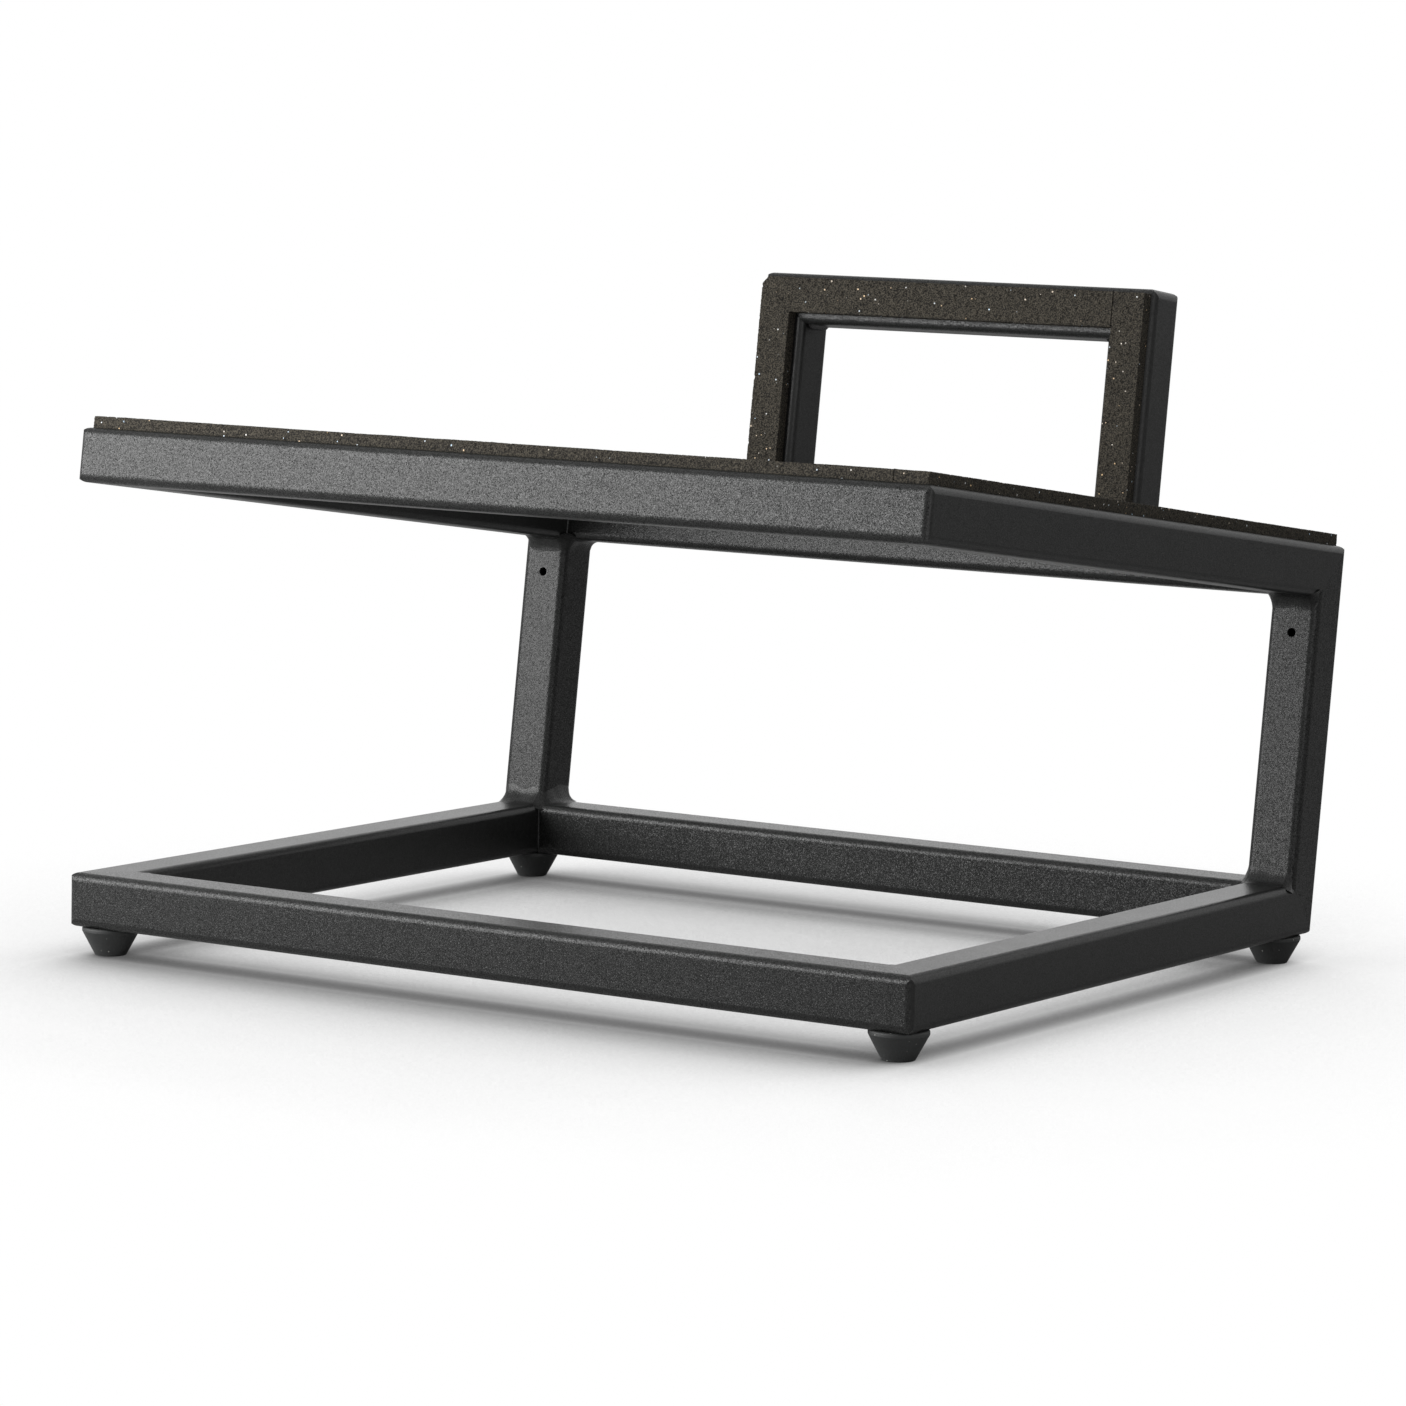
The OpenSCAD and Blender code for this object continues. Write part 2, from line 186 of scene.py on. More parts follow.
def voronoi(tree, coords, size, feature="F1", seed=0.0):
    """Scattered cells about size metres across."""
    return node(
        tree, "ShaderNodeTexVoronoi", {"voronoi_dimensions": "4D", "feature": feature},
        Vector=coords, Scale=1 / size, W=seed,
    )


def remap(tree, value, low, high, to_low, to_high):
    """Linear map with its ends held."""
    made = node(tree, "ShaderNodeMapRange", {"clamp": True}, Value=value)
    for name, number in (("From Min", low), ("From Max", high), ("To Min", to_low), ("To Max", to_high)):
        made.inputs[name].default_value = number
    return made.outputs["Result"]


def blend_colour(tree, factor, a, b):
    """Colour that goes from a to b with the factor."""
    made = node(tree, "ShaderNodeMix", {"data_type": "RGBA"})
    put(tree, made.inputs[0], factor)
    put(tree, made.inputs[6], a)
    put(tree, made.inputs[7], b)
    return made.outputs[2]


def bump(tree, height, distance, normal=None):
    """Normal of a surface that rises by distance where the height is 1."""
    made = node(tree, "ShaderNodeBump", Height=height, Distance=distance, Strength=1.0)
    if normal is not None:
        put(tree, made.inputs["Normal"], normal)
    return made.outputs["Normal"]


COAT_COLOUR = (0.0127, 0.0131, 0.0127, 1)
COAT_COLOUR_PALE = (0.0163, 0.0167, 0.0163, 1)
COAT_IOR = 1.33
# Grains of powder: their size, how far they tilt the surface, and how much their gloss differs
COAT_GRAIN = 0.38 * MM
COAT_GRAIN_TILT = 0.65
COAT_GLINT = 1.0
COAT_PEEL_SIZE = 2.6 * MM
COAT_PEEL_DEPTH = 0.02 * MM
COAT_PATCH_SIZE = 17 * MM
COAT_ROUGH = 0.30
COAT_ROUGH_SWING = 0.06
# How much less grainy the coat is than on the rails that face front and rear
UPRIGHT_SMOOTH = 0.25
SIDE_SMOOTH = 0.6
WELD_SMOOTH = 0.35
# How strongly the coat mirrors, where 0.5 is the plain value for its index of refraction
COAT_LEVEL = 0.5
# The uprights' copy of the coat mirrors less, so they come out darker: painted shade for the platform above
# them
UPRIGHT_SHADED_LEVEL = 0.41


def tilted_normal(tree, coords, size, amount):
    """Surface normal thrown a little to all sides, as small round grains of powder do."""
    grains = node(
        tree, "ShaderNodeTexNoise", {"noise_dimensions": "3D"},
        Vector=coords, Scale=1 / size, Detail=1.0, Roughness=0.5,
    ).outputs["Color"]
    centred = node(tree, "ShaderNodeVectorMath", {"operation": "SUBTRACT"})
    put(tree, centred.inputs[0], grains)
    centred.inputs[1].default_value = (0.5, 0.5, 0.5)
    thrown = node(tree, "ShaderNodeVectorMath", {"operation": "MULTIPLY_ADD"})
    put(tree, thrown.inputs[0], centred.outputs[0])
    thrown.inputs[1].default_value = (amount, amount, amount)
    put(tree, thrown.inputs[2], node(tree, "ShaderNodeNewGeometry").outputs["Normal"])
    unit = node(tree, "ShaderNodeVectorMath", {"operation": "NORMALIZE"})
    put(tree, unit.inputs[0], thrown.outputs[0])
    return unit.outputs[0]


def powder_coat(name="powder_coat", smooth=0.0, mean_level=COAT_LEVEL):
    """Fine textured black powder coat: small raised grains, a soft orange peel and a satin gloss."""
    made, tree, shader = material(name)
    coords = node(tree, "ShaderNodeTexCoord").outputs["Object"]
    peel = noise(tree, coords, COAT_PEEL_SIZE, seed=3.0)
    patches = noise(tree, coords, COAT_PATCH_SIZE, detail=3.0, rough=0.6, seed=7.0)
    colour = blend_colour(tree, patches, COAT_COLOUR, COAT_COLOUR_PALE)
    put(tree, shader.inputs["Base Color"], colour)
    shader.inputs["IOR"].default_value = COAT_IOR
    rough = math_node(tree, "MULTIPLY_ADD", patches, COAT_ROUGH_SWING, COAT_ROUGH)
    put(tree, shader.inputs["Roughness"], rough)
    glint = noise(tree, coords, COAT_GRAIN, detail=1.0, seed=11.0)
    swing = COAT_GLINT * (1 - smooth)
    level = math_node(tree, "MULTIPLY_ADD", glint, 2 * swing, mean_level - swing, clamp=True)
    put(tree, shader.inputs["Specular IOR Level"], level)
    grainy = tilted_normal(tree, coords, COAT_GRAIN, COAT_GRAIN_TILT * (1 - smooth))
    put(tree, shader.inputs["Normal"], bump(tree, peel, COAT_PEEL_DEPTH, normal=grainy))
    return made


def specks(tree, coords, spacing, size, share, seed):
    """1 in rare small dots, and a set of random numbers for each dot.
    The size is where a dot starts to fade and where it ends, in shares of the spacing."""
    cells = voronoi(tree, coords, spacing, seed=seed)
    near = remap(tree, cells.outputs["Distance"], *size, 1.0, 0.0)
    numbers = node(tree, "ShaderNodeSeparateColor", Color=cells.outputs["Color"])
    chosen = math_node(tree, "LESS_THAN", numbers.outputs["Red"], share)
    return math_node(tree, "MULTIPLY", near, chosen), numbers


FOAM_STRUT = (0.082, 0.072, 0.055, 1)
# Dark colour painted into pores and pits as their shade
FOAM_SHADED_PORE = (0.008, 0.007, 0.0055, 1)
FOAM_PORE_SIZE = 0.75 * MM
# How far from a strut the painted shade of a pore starts and is full, in cells, and how dark the painted
# shade in pores and in modelled pits is
FOAM_PORE_EDGE = (0.03, 0.30)
FOAM_PORE_SHADE = 0.50
FOAM_PIT_SHADE = 0.35
FOAM_GRAIN_SIZE = 0.5 * MM
FOAM_GRAIN_DEPTH = 0.12 * MM
# How strongly the grain changes the shade, and what is taken off for it
FOAM_GRAIN_SHADE = 3.8
FOAM_GRAIN_SHIFT = -1.47
FOAM_ROUGH = 0.85
FOAM_LEVEL = 0.25
# Rare bright specks painted as highlights where a cell wall glints: their spacing, size, share and two tints
FOAM_GLINT_SPACING = 1.7 * MM
FOAM_GLINT_SIZE = (0.17, 0.22)
FOAM_GLINT_SHARE = 0.36
FOAM_GLINT_WARM = (0.95, 0.66, 0.36, 1)
FOAM_GLINT_COOL = (0.66, 0.84, 1.0, 1)


def foam_material():
    """Open-cell foam: brown struts round pores and pits darkened with painted shade, and rare bright specks
    painted as highlights where a cell wall glints.
    """
    made, tree, shader = material("open_cell_foam")
    coords = node(tree, "ShaderNodeTexCoord").outputs["Object"]
    # Painted shade in the modelled pits and dimples, from the depth that each strip stores
    pit = node(tree, "ShaderNodeAttribute", {"attribute_name": "pit"}).outputs["Fac"]
    grain = noise(tree, coords, FOAM_GRAIN_SIZE, detail=1.0)
    # Painted shade in the pores, fading in from their struts
    pores = voronoi(tree, coords, FOAM_PORE_SIZE, "DISTANCE_TO_EDGE").outputs["Distance"]
    inside = remap(tree, pores, *FOAM_PORE_EDGE, 0.0, FOAM_PORE_SHADE)
    mottle = math_node(tree, "MULTIPLY_ADD", grain, FOAM_GRAIN_SHADE, FOAM_GRAIN_SHIFT)
    depth = math_node(tree, "ADD", inside, mottle)
    depth = math_node(tree, "MULTIPLY_ADD", pit, FOAM_PIT_SHADE, depth, clamp=True)
    colour = blend_colour(tree, depth, FOAM_STRUT, FOAM_SHADED_PORE)
    # Painted highlights: rare bright specks, warm or cool, where a cell wall glints
    glint, numbers = specks(tree, coords, FOAM_GLINT_SPACING, FOAM_GLINT_SIZE, FOAM_GLINT_SHARE, 2.0)
    tinted = blend_colour(tree, numbers.outputs["Green"], FOAM_GLINT_WARM, FOAM_GLINT_COOL)
    put(tree, shader.inputs["Base Color"], blend_colour(tree, glint, colour, tinted))
    shader.inputs["Roughness"].default_value = FOAM_ROUGH
    shader.inputs["Specular IOR Level"].default_value = FOAM_LEVEL
    put(tree, shader.inputs["Normal"], bump(tree, grain, FOAM_GRAIN_DEPTH))
    return made


RUBBER_COLOUR = (0.0085, 0.0092, 0.009, 1)
RUBBER_DUST_COLOUR = (0.0165, 0.0176, 0.0174, 1)
RUBBER_SPECK_COLOUR = (0.32, 0.32, 0.30, 1)
RUBBER_SPECK_SPACING = 1.2 * MM
RUBBER_SPECK_SIZE = (0.14, 0.22)
RUBBER_SPECK_SHARE = 0.3
RUBBER_PEBBLE_SIZE = 0.5 * MM
RUBBER_PEBBLE_DEPTH = 0.07 * MM
RUBBER_DUST_SIZE = 3 * MM
RUBBER_ROUGH = 0.5
RUBBER_ROUGH_SWING = 0.2


def rubber_material():
    """Moulded matte rubber with a fine pebbled skin, and some specks of dust."""
    made, tree, shader = material("foot_rubber")
    coords = node(tree, "ShaderNodeTexCoord").outputs["Object"]
    pebbles = noise(tree, coords, RUBBER_PEBBLE_SIZE)
    dust = noise(tree, coords, RUBBER_DUST_SIZE, detail=3.0, rough=0.6, seed=5.0)
    colour = blend_colour(tree, dust, RUBBER_COLOUR, RUBBER_DUST_COLOUR)
    speck, _ = specks(tree, coords, RUBBER_SPECK_SPACING, RUBBER_SPECK_SIZE, RUBBER_SPECK_SHARE, 4.0)
    put(tree, shader.inputs["Base Color"], blend_colour(tree, speck, colour, RUBBER_SPECK_COLOUR))
    rough = math_node(tree, "MULTIPLY_ADD", pebbles, RUBBER_ROUGH_SWING, RUBBER_ROUGH)
    put(tree, shader.inputs["Roughness"], rough)
    put(tree, shader.inputs["Normal"], bump(tree, pebbles, RUBBER_PEBBLE_DEPTH))
    return made


ZINC_COLOUR = (0.52, 0.53, 0.55, 1)
ZINC_COLOUR_PALE = (0.68, 0.69, 0.70, 1)
ZINC_MARK_SIZE = 0.25 * MM
ZINC_MARK_DEPTH = 0.01 * MM
# Marks run round the threads, so they are long sideways and fine along the height
ZINC_MARK_SQUEEZE = (0.15, 0.15, 1.0)
ZINC_ROUGH = 0.22
ZINC_ROUGH_SWING = 0.2


def zinc_material():
    """Bright zinc plating with faint turning marks."""
    made, tree, shader = material("zinc_plating")
    coords = node(tree, "ShaderNodeTexCoord").outputs["Object"]
    squeezed = node(tree, "ShaderNodeMapping", Vector=coords, Scale=ZINC_MARK_SQUEEZE).outputs[0]
    marks = noise(tree, squeezed, ZINC_MARK_SIZE, detail=3.0, rough=0.6)
    put(tree, shader.inputs["Base Color"], blend_colour(tree, marks, ZINC_COLOUR, ZINC_COLOUR_PALE))
    shader.inputs["Metallic"].default_value = 1.0
    rough = math_node(tree, "MULTIPLY_ADD", marks, ZINC_ROUGH_SWING, ZINC_ROUGH)
    put(tree, shader.inputs["Roughness"], rough)
    put(tree, shader.inputs["Normal"], bump(tree, marks, ZINC_MARK_DEPTH))
    return made


# Meshes

def add_mesh(name, points, faces, look, smooth=True):
    """Mesh object from points in metres, in the row frame."""
    mesh = bpy.data.meshes.new(name)
    mesh.from_pydata([tuple(p) for p in points], [], faces)
    mesh.validate()
    mesh.polygons.foreach_set("use_smooth", [smooth] * len(mesh.polygons))
    mesh.materials.append(look)
    made = bpy.data.objects.new(name, mesh)
    bpy.context.scene.collection.objects.link(made)
    return made


# Rows in a table of random numbers, and what mixes a grid cell's three numbers into one
NOISE_ROWS = 4096
MIX_FACTORS = (73856093, 19349663, 83492791)


def table_rows(cell):
    """Row of the random table for each grid cell."""
    mixed = cell * np.array(MIX_FACTORS)
    return (mixed[:, 0] ^ mixed[:, 1] ^ mixed[:, 2]) % NOISE_ROWS


def cell_noise(points, size, seed):
    """Distances to the nearest and second nearest of scattered cell centres, and a number per cell.
    The distances are in cells."""
    table = np.random.default_rng(seed).random((NOISE_ROWS, 4))
    scaled = points / size
    home = np.floor(scaled).astype(np.int64)
    nearest = np.full(len(points), np.inf)
    second = np.full(len(points), np.inf)
    number = np.zeros(len(points))
    for offset in product((-1, 0, 1), repeat=3):
        cell = home + offset
        pick = table[table_rows(cell)]
        away = np.linalg.norm(cell + pick[:, :3] - scaled, axis=1)
        closer = away < nearest
        second = np.where(closer, nearest, np.minimum(second, away))
        number = np.where(closer, pick[:, 3], number)
        nearest = np.where(closer, away, nearest)
    return nearest, second, number


def value_noise(points, size, seed):
    """Smooth noise from -1 to 1 with blotches about size across."""
    table = np.random.default_rng(seed).random(NOISE_ROWS) * 2 - 1
    scaled = points / size
    home = np.floor(scaled).astype(np.int64)
    part = scaled - home
    part = part * part * (3 - 2 * part)
    total = np.zeros(len(points))
    for corner in product((0, 1), repeat=3):
        share = np.where(corner, part, 1 - part)
        weight = share[:, 0] * share[:, 1] * share[:, 2]
        total += weight * table[table_rows(home + corner)]
    return total


def smooth_step(value, low, high):
    """0 below low, 1 above high, and a soft rise between them."""
    t = np.clip((value - low) / (high - low), 0, 1)
    return t * t * (3 - 2 * t)


# Foam strips

FOAM_GRID = 0.36 * MM
FOAM_EDGE_R = 0.25 * MM
# Butt ends are cut flat and pressed together: each closes most of its joint, and pits fade out towards it
SIDE_BUTT = 0.28 * MM
MIDDLE_BUTT = 0.13 * MM
BUTT_CALM = 0.6 * MM
FOAM_CELL_SIZE = 1.45 * MM
FOAM_CELL_DEPTH = 0.45 * MM
# Cells with a random number below the first value are shut, and above the second they are wide open
FOAM_CELL_OPEN = (0.15, 0.75)
# How far from a cell's wall its pit starts and is fully deep, in cells
FOAM_CELL_EDGE = (0.05, 0.55)
FOAM_DIMPLE_SIZE = 0.8 * MM
FOAM_DIMPLE_DEPTH = 0.2 * MM
FOAM_DIMPLE_EDGE = (0.0, 0.6)
# The cells' part in the depth that the material paints as shade in pits; dimples have the rest
FOAM_CELL_PART = 0.75
FOAM_WAVE = 0.22 * MM
FOAM_WAVE_LENGTH = 14 * MM
# Pits in the sides of a strip are this share as deep as in its face
FOAM_SIDE_SHARE = 0.6
FOAM_SNIP = 3 * MM
CELL_SEED = 1
DIMPLE_SEED = 50
WAVE_SEED = 90


def strip_box(node_name, along, across, out):
    """Lowest and highest corner of a strip's CAD solid, measured along its own three axes."""
    corners = node_points(node_name) @ np.array([along, across, out]).T
    return corners.min(0), corners.max(0)


def pan(size, cells):
    """Box with five finely gridded faces and a plain underside.
    It gives points from (0, 0, 0) to size, and faces; out is the third axis."""
    nl, nw, nt = cells
    points, faces = [], []
    index = {}

    def at(i, j, k):
        if (i, j, k) not in index:
            index[i, j, k] = len(points)
            points.append((size[0] * i / nl, size[1] * j / nw, size[2] * k / nt))
        return index[i, j, k]

    for i in range(nl):
        for j in range(nw):
            faces.append((at(i, j, nt), at(i + 1, j, nt), at(i + 1, j + 1, nt), at(i, j + 1, nt)))
        for k in range(nt):
            faces.append((at(i, 0, k), at(i + 1, 0, k), at(i + 1, 0, k + 1), at(i, 0, k + 1)))
            faces.append((at(i + 1, nw, k), at(i, nw, k), at(i, nw, k + 1), at(i + 1, nw, k + 1)))
    for j in range(nw):
        for k in range(nt):
            faces.append((at(0, j + 1, k), at(0, j, k), at(0, j, k + 1), at(0, j + 1, k + 1)))
            faces.append((at(nl, j, k), at(nl, j + 1, k), at(nl, j + 1, k + 1), at(nl, j, k + 1)))
    for i in range(nl):
        near = [at(i, j, 0) for j in range(nw + 1)] if i == 0 else [at(i, 0, 0), at(i, nw, 0)]
        last = i == nl - 1
        far = [at(i + 1, j, 0) for j in range(nw, -1, -1)] if last else [at(i + 1, nw, 0), at(i + 1, 0, 0)]
        faces.append(tuple(near + far))
    return np.array(points), faces


def rounded(points, size, radius, butts):
    """Rounds the edges of a box but those of its underside and of its butt ends.
    It gives the new points and their normals, which are zero on a butt end."""
    low = np.array([-size[0] if butts[0] else radius, radius, -size[2]])
    high = np.array([2 * size[0] if butts[1] else size[0] - radius, size[1] - radius, size[2] - radius])
    core = np.clip(points, low, high)
    away = points - core
    length = np.linalg.norm(away, axis=1)
    normal = away / np.maximum(length, 1e-9)[:, None]
    moved = core + normal * np.minimum(length, radius)[:, None]
    return moved, normal


def foam_strip(name, along, across, out, look, butts=(0.0, 0.0), snip=0.0):
    """One strip of open-cell foam in the place of its CAD solid, pitted and a little wavy where it was cut.
    The two butts say how far its ends reach out to press against another strip."""
    along, across, out = (np.array(v) for v in (along, across, out))
    low, high = strip_box(name, along, across, out)
    low[0] -= butts[0]
    high[0] += butts[1]
    size = high - low
    cells = [max(3, round(s / FOAM_GRID)) for s in size]
    flat, faces = pan(size, cells)
    points, normal = rounded(flat, size, FOAM_EDGE_R, butts)
    if snip:
        # The upper outer corner is cut off at 45 degrees
        beyond = (points[:, 0] - (size[0] - snip)) + (points[:, 1] - (size[1] - snip)) - snip
        beyond = np.maximum(beyond, 0) / 2
        points[:, 0] -= beyond
        points[:, 1] -= beyond
    axes = np.array([along, across, out])
    # Cells go on from strip to strip, so that a joint hardly shows
    block = (points + low) @ axes
    nearest, second, number = cell_noise(block, FOAM_CELL_SIZE, CELL_SEED)
    pit = smooth_step(second - nearest, *FOAM_CELL_EDGE) * smooth_step(number, *FOAM_CELL_OPEN)
    dimple_near, dimple_second, _ = cell_noise(block, FOAM_DIMPLE_SIZE, DIMPLE_SEED)
    dimple = smooth_step(dimple_second - dimple_near, *FOAM_DIMPLE_EDGE)
    wave = value_noise(block, FOAM_WAVE_LENGTH, WAVE_SEED) * 0.5 + 0.5
    inward = pit * FOAM_CELL_DEPTH + dimple * FOAM_DIMPLE_DEPTH + wave * FOAM_WAVE
    inward *= FOAM_SIDE_SHARE + (1 - FOAM_SIDE_SHARE) * np.maximum(normal[:, 2], 0)
    for butt, distance in zip(butts, (flat[:, 0], size[0] - flat[:, 0])):
        if butt:
            inward *= smooth_step(distance, 0, BUTT_CALM)
    on_tube = flat[:, 2] < 1e-9
    points = points - normal * np.where(on_tube, 0.0, inward)[:, None]
    made = add_mesh(name + "_cells", (points + low) @ axes, faces, look)
    # Pits and dimples are stored on the strip, and the material paints shade into them
    painted_shade = made.data.attributes.new("pit", "FLOAT", "POINT")
    depth = pit * FOAM_CELL_PART + dimple * (1 - FOAM_CELL_PART)
    painted_shade.data.foreach_set("value", np.clip(depth, 0, 1))
    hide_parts(name)
    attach(made, "root")


def make_foam(look):
    """All eight strips: five on the platform and three on the hoop."""
    x, up, back = X_AXIS, PLATFORM_UP, PLATFORM_BACK
    both_ends = (SIDE_BUTT, SIDE_BUTT)
    foam_strip("platform_foam_left", back, -x, up, look)
    foam_strip("platform_foam_right", back, -x, up, look)
    foam_strip("platform_foam_front_left", x, back, up, look, (SIDE_BUTT, MIDDLE_BUTT))
    foam_strip("platform_foam_front_right", x, back, up, look, (MIDDLE_BUTT, SIDE_BUTT))
    foam_strip("platform_foam_rear", x, back, up, look, both_ends)
    foam_strip("hoop_foam_left", up, -x, -back, look, snip=FOAM_SNIP)
    foam_strip("hoop_foam_right", up, -x, -back, look)
    foam_strip("hoop_foam_top", x, up, -back, look, both_ends)


# Feet

FOOT_TURNS = 96
FOOT_RINGS = 14
FOOT_TIP_ROUND = 0.7 * MM
FOOT_RIM_ROUND = 0.4 * MM
FOOT_TOP_ROUND = 0.8 * MM
FOOT_CRISP_DEGREES = 40
# CAD corners this close to a level or a radius lie on it
FOOT_NEAR = 0.01 * MM
# The hollow for stud and nut lies within this share of the foot's radius, and above this height
HOLLOW_WITHIN = 0.7
HOLLOW_ABOVE = 1 * MM


def foot_profile(node_name):
    """Radius and height pairs of a foot, from the middle of its tip round to the bore for its stud."""
    corners = node_points(node_name)
    low, high = corners.min(0), corners.max(0)
    middle = (low + high) / 2
    radius = np.hypot(corners[:, 0] - middle[0], corners[:, 1] - middle[1])
    height = high[2]
    tip_r = radius[corners[:, 2] < FOOT_NEAR].max()
    rim_r = radius.max()
    rim_z = corners[radius > rim_r - FOOT_NEAR][:, 2].min()
    slope = math.atan2(rim_z, rim_r - tip_r)
    profile = [(0.0, 0.0), (tip_r / 2, 0.0)]
    profile += arc(tip_r, 0.0, FOOT_TIP_ROUND, -90.0, math.degrees(slope) - 90.0)
    for i in range(1, FOOT_RINGS):
        t = i / FOOT_RINGS
        profile.append((tip_r + (rim_r - tip_r) * t, rim_z * t))
    profile += arc(rim_r, rim_z, FOOT_RIM_ROUND, math.degrees(slope) - 90.0, 0.0)
    profile += arc(rim_r, height, FOOT_TOP_ROUND, 0.0, 90.0)
    profile += cavity(radius, corners[:, 2], rim_r)
    return profile, middle


def cavity(radius, height, rim_r):
    """Radius and height pairs of the hollow for stud and nut, from its mouth down to its floor."""
    inside = (radius < HOLLOW_WITHIN * rim_r) & (height > HOLLOW_ABOVE)
    levels = {}
    for r, z in zip(radius[inside], height[inside]):
        levels.setdefault(round(z, 5), set()).add(round(r, 5))
    pairs = []
    here = max(r for radii in levels.values() for r in radii)
    for z in sorted(levels, reverse=True):
        for r in sorted((r for r in levels[z] if r > 0), key=lambda r: r != here):
            pairs.append((r, z))
            here = r
    return pairs + [(0.0, min(levels))]


def arc(corner_r, corner_z, radius, start, stop, steps=6):
    """Points of a small round that softens a corner of a profile; angles in degrees, outward normals."""
    a, b = math.radians(start), math.radians(stop)
    middle = (a + b) / 2
    to_centre = radius / math.cos((b - a) / 2)
    centre_r = corner_r - to_centre * math.cos(middle)
    centre_z = corner_z - to_centre * math.sin(middle)
    return [
        (centre_r + radius * math.cos(a + (b - a) * i / steps),
         centre_z + radius * math.sin(a + (b - a) * i / steps))
        for i in range(steps + 1)
    ]


def make_foot(name, look):
    """One foot, turned from its profile, in the place of its CAD solid."""
    profile, middle = foot_profile(name)
    rings = profile[1:-1]
    points = [(middle[0], middle[1], profile[0][1])]
    for r, z in rings:
        for k in range(FOOT_TURNS):
            turn = 2 * math.pi * k / FOOT_TURNS
            points.append((middle[0] + r * math.cos(turn), middle[1] + r * math.sin(turn), z))
    last = len(points)
    points.append((middle[0], middle[1], profile[-1][1]))
    faces = []
    for row in range(len(rings) - 1):
        for k in range(FOOT_TURNS):
            a = 1 + row * FOOT_TURNS + k
            b = 1 + row * FOOT_TURNS + (k + 1) % FOOT_TURNS
            faces.append((a, b, b + FOOT_TURNS, a + FOOT_TURNS))
    top = 1 + (len(rings) - 1) * FOOT_TURNS
    for k in range(FOOT_TURNS):
        faces.append((0, 1 + (k + 1) % FOOT_TURNS, 1 + k))
        faces.append((last, top + k, top + (k + 1) % FOOT_TURNS))
    made = add_mesh(name + "_moulding", points, faces, look)
    sharpen(made, FOOT_CRISP_DEGREES)
    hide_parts(name)
    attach(made, "root")


def sharpen(made, degrees):
    """Keeps edges sharper than the angle crisp under smooth shading."""
    made.data.set_sharp_from_angle(angle=math.radians(degrees))


# Welds

BEAD_STEP = 0.35 * MM
BEAD_POINTS = 9
# How hollow a bead is: 1 is a flat face, and 2 runs out softly on both surfaces
BEAD_HOLLOW = 1.35
UPRIGHT_HOLLOW = 1.75
# An end rounds off over a length, down to a share of the bead's size
BEAD_END = 2.5 * MM
BEAD_END_SHARE = 0.08
BEAD_WANDER = 0.18
BEAD_WANDER_LENGTH = 5 * MM
RIPPLE_PITCH = 1.15 * MM
RIPPLE_BOW = 0.9 * MM
RIPPLE_HEIGHT = 0.11 * MM
RIPPLE_WANDER = 0.35
RIPPLE_WANDER_LENGTH = 3 * MM
TOE_SINK = 0.05 * MM
ROOT_SINK = 1.2 * MM
WELD_CRISP_DEGREES = 50
ARC_STEPS = 8
# How far a toe sinks over the rail's rounded outer edge, and in the groove inside where two rails meet
OUTER_DIP = 2.4 * MM
INNER_DIP = 1.8 * MM
# A bead on an upright's inner side stops this far before the rear face
UPRIGHT_STOP = 1 * MM
# A weld in an outer groove: how far it laps on the two tubes, and how little it stands proud
SEAM_LAP = 1.2 * MM
SEAM_OVER = 2.6 * MM
SEAM_CROWN = 0.15 * MM
SEAM_RIPPLE = 0.07 * MM
SEAM_ROOT = 1.9 * MM
# Where between its two toes the root of such a weld lies
SEAM_ROOT_SHARE = 0.4
SEAM_END = 1.5 * MM
SEAM_END_SHARE = 0.15
SEAM_CORNER_SINK = 0.25 * MM
# It crosses a rail's rear face and one more, and goes this many degrees round the edges beyond them
SEAM_RUN_OUT = 75
SEAM_TURN_STEP = 15
# Beads in the inner corners of the rings: their legs, and how far they end from the lower and upper faces
BASE_FRONT_LEG = 4.6 * MM
PLATFORM_FRONT_LEG = 4.0 * MM
REAR_LEG = 0.4 * MM
RING_LOW_END = 1.2 * MM
RING_TOP_END = 0.4 * MM
# Beads round the uprights: side, legs along rail and upright, degrees round the outer edge, and seed
UPRIGHT_FEET = ((-1, (4.8 * MM, 6.4 * MM), 50, 21), (1, (4.4 * MM, 5.6 * MM), 50, 24))
UPRIGHT_HEADS = ((-1, (4.6 * MM, 5.2 * MM), 35, 31), (1, (4.2 * MM, 5.2 * MM), 50, 34))
# Beads of the hoop: in its inner corners, and down both sides of its legs
HOOP_CORNER_LEG = 1.3 * MM
HOOP_CORNER_END = 2.8 * MM
HOOP_SIDE_LEGS = (2.8 * MM, 4.0 * MM)
HOOP_SIDE_LOW_END = 0.5 * MM
HOOP_SIDE_TOP_END = 2.4 * MM
# Seeds from which the random wander of each group of beads starts
BASE_SEED = 10
PLATFORM_SEED = 40
HOOP_CORNER_SEED = 50
HOOP_SIDE_SEED = 60
SEAM_SEED = 100


def walk(marks, middle):
    """Even steps along a line of marks: the way gone at each, the marks there, and places for noise."""
    lengths = np.linalg.norm(np.diff(middle, axis=0), axis=1)
    far = np.concatenate(([0.0], np.cumsum(lengths)))
    gone = np.linspace(0, far[-1], max(4, round(far[-1] / BEAD_STEP)) + 1)
    at = np.array([np.interp(gone, far, column) for column in marks.T]).T
    line = np.stack([gone, np.zeros(len(gone)), np.zeros(len(gone))], axis=1)
    return gone, at, line


def end_taper(gone, length, share):
    """1 along a weld, and rounding off to a share at both its ends."""
    end = np.clip(np.minimum(gone, gone[-1] - gone) / length, 0, 1)
    return share + (1 - share) * np.sqrt(1 - (1 - end) ** 2)


